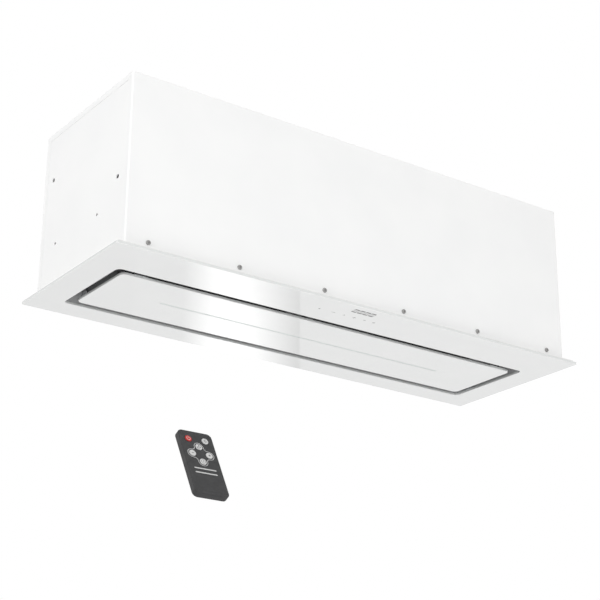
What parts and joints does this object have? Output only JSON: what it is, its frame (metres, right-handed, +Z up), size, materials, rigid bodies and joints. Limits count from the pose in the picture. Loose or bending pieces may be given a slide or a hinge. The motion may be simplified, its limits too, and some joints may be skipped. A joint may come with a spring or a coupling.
{
  "type": "ceiling range hood",
  "caption": "Ceiling-recessed range hood: white housing, glass flange, hinged lit glass panel with a suction gap round it, filters, blower, duct collar and a remote.",
  "frame": {"origin": "middle of the housing's plan, on the ceiling's underside (the top of the flange's seal)", "axes": "+X along the hood, touch keys and front screws on the -Y side, +Z up towards the duct"},
  "size_m": [0.9, 0.304, 0.6735],
  "materials": {
    "white_powder": "satin powder coat",
    "zinc_steel": "satin zinc",
    "bright_screw": "bright",
    "white_glass": "polished, coated behind",
    "foam": "matt foam",
    "grey_steel": "satin",
    "dark_steel": "satin",
    "magnet": "matt",
    "aluminium": "satin",
    "mesh": "bright mesh",
    "milky": "milky",
    "board_green": "board",
    "black_plastic": "matt",
    "grey_plastic": "matt",
    "white_plastic": "matt",
    "motor_black": "satin",
    "remote_case": "fine matt",
    "key_grey": "matt",
    "key_red": "matt"
  },
  "bodies": {
    "hood": {"housing_wrap": "white_powder", "housing_back_top": "white_powder", "housing_screws": "bright_screw", "clinch_nuts": "zinc_steel", "hanging_brackets": "zinc_steel", "base_frame": "white_powder", "ceiling_seal": "foam", "flange_glass": "white_glass", "touch_holder": "white_plastic", "touch_board": "board_green", "display_module": "black_plastic", "recess_tray": "grey_steel", "front_corner_covers": "grey_steel", "magnet_catches": "magnet", "hinge_brackets": "zinc_steel", "hinge_pins": "bright_screw", "scroll_wall": "zinc_steel", "scroll_side_left": "zinc_steel", "scroll_side_right": "zinc_steel", "inlet_ring_left": "zinc_steel", "inlet_ring_right": "zinc_steel", "blower_flange": "zinc_steel", "motor": "motor_black", "motor_bracket": "zinc_steel", "run_capacitor": "white_plastic", "duct_collar": "black_plastic", "flap_spindle": "bright_screw", "control_box": "white_plastic", "control_lid": "white_plastic", "control_board": "board_green", "cable_gland": "grey_plastic", "led_driver": "white_plastic", "filter_frame_left": "aluminium", "filter_mesh_left": "mesh", "filter_frame_right": "aluminium", "filter_mesh_right": "mesh", "remote_front_case": "remote_case", "remote_back_case": "remote_case", "remote_board": "board_green"},
    "panel": {"panel_glass": "white_glass", "panel_pan": "grey_steel", "hinge_ears": "zinc_steel", "strike_plates": "zinc_steel", "led_profile": "aluminium", "led_strip": "board_green", "led_diffuser": "milky"},
    "impeller_body": {"impeller": "black_plastic", "rotor_shaft": "bright_screw"},
    "front_flap": {"flap_front": "black_plastic"},
    "rear_flap": {"flap_rear": "black_plastic"},
    "left_latch": {"filter_latch_left": "black_plastic"},
    "right_latch": {"filter_latch_right": "black_plastic"},
    "battery_tray_body": {"battery_tray": "remote_case", "coin_cell": "bright_screw"},
    "key_power": {"remote_key_power": "key_red"},
    "key_light": {"remote_key_light": "key_grey"},
    "key_up": {"remote_key_up": "key_grey"},
    "key_left": {"remote_key_left": "key_grey"},
    "key_right": {"remote_key_right": "key_grey"},
    "key_down": {"remote_key_down": "key_grey"}
  },
  "joints": [
    {"name": "panel_hinge", "type": "hinge", "parent": "hood", "child": "panel", "pos_m": [0, 0.072, 0.006], "axis": [1, 0, 0], "range_deg": [0, 85]},
    {"name": "impeller_spin", "type": "hinge", "parent": "hood", "child": "impeller_body", "pos_m": [0, -0.02, 0.174], "axis": [1, 0, 0], "continuous": true},
    {"name": "front_flap_swing", "type": "hinge", "parent": "hood", "child": "front_flap", "pos_m": [0, 0.05318, 0.291], "axis": [-1, 0, 0], "range_deg": [0, 80]},
    {"name": "rear_flap_swing", "type": "hinge", "parent": "hood", "child": "rear_flap", "pos_m": [0, 0.05318, 0.291], "axis": [1, 0, 0], "range_deg": [0, 80]},
    {"name": "battery_tray_slide", "type": "slide", "parent": "hood", "child": "battery_tray_body", "axis": [0, -0.4818, -0.8763], "range_m": [0, 0.024]},
    {"name": "left_latch_slide", "type": "slide", "parent": "hood", "child": "left_latch", "axis": [0, 1, 0], "range_m": [0, 0.006], "stiffness_N_per_m": 400},
    {"name": "right_latch_slide", "type": "slide", "parent": "hood", "child": "right_latch", "axis": [0, 1, 0], "range_m": [0, 0.006], "stiffness_N_per_m": 400},
    {"name": "key_power_press", "type": "slide", "parent": "hood", "child": "key_power", "axis": [0, 0.8763, -0.4818], "range_m": [0, 0.0006], "stiffness_N_per_m": 1500},
    {"name": "key_light_press", "type": "slide", "parent": "hood", "child": "key_light", "axis": [0, 0.8763, -0.4818], "range_m": [0, 0.0006], "stiffness_N_per_m": 1500},
    {"name": "key_up_press", "type": "slide", "parent": "hood", "child": "key_up", "axis": [0, 0.8763, -0.4818], "range_m": [0, 0.0006], "stiffness_N_per_m": 1500},
    {"name": "key_left_press", "type": "slide", "parent": "hood", "child": "key_left", "axis": [0, 0.8763, -0.4818], "range_m": [0, 0.0006], "stiffness_N_per_m": 1500},
    {"name": "key_right_press", "type": "slide", "parent": "hood", "child": "key_right", "axis": [0, 0.8763, -0.4818], "range_m": [0, 0.0006], "stiffness_N_per_m": 1500},
    {"name": "key_down_press", "type": "slide", "parent": "hood", "child": "key_down", "axis": [0, 0.8763, -0.4818], "range_m": [0, 0.0006], "stiffness_N_per_m": 1500}
  ]
}
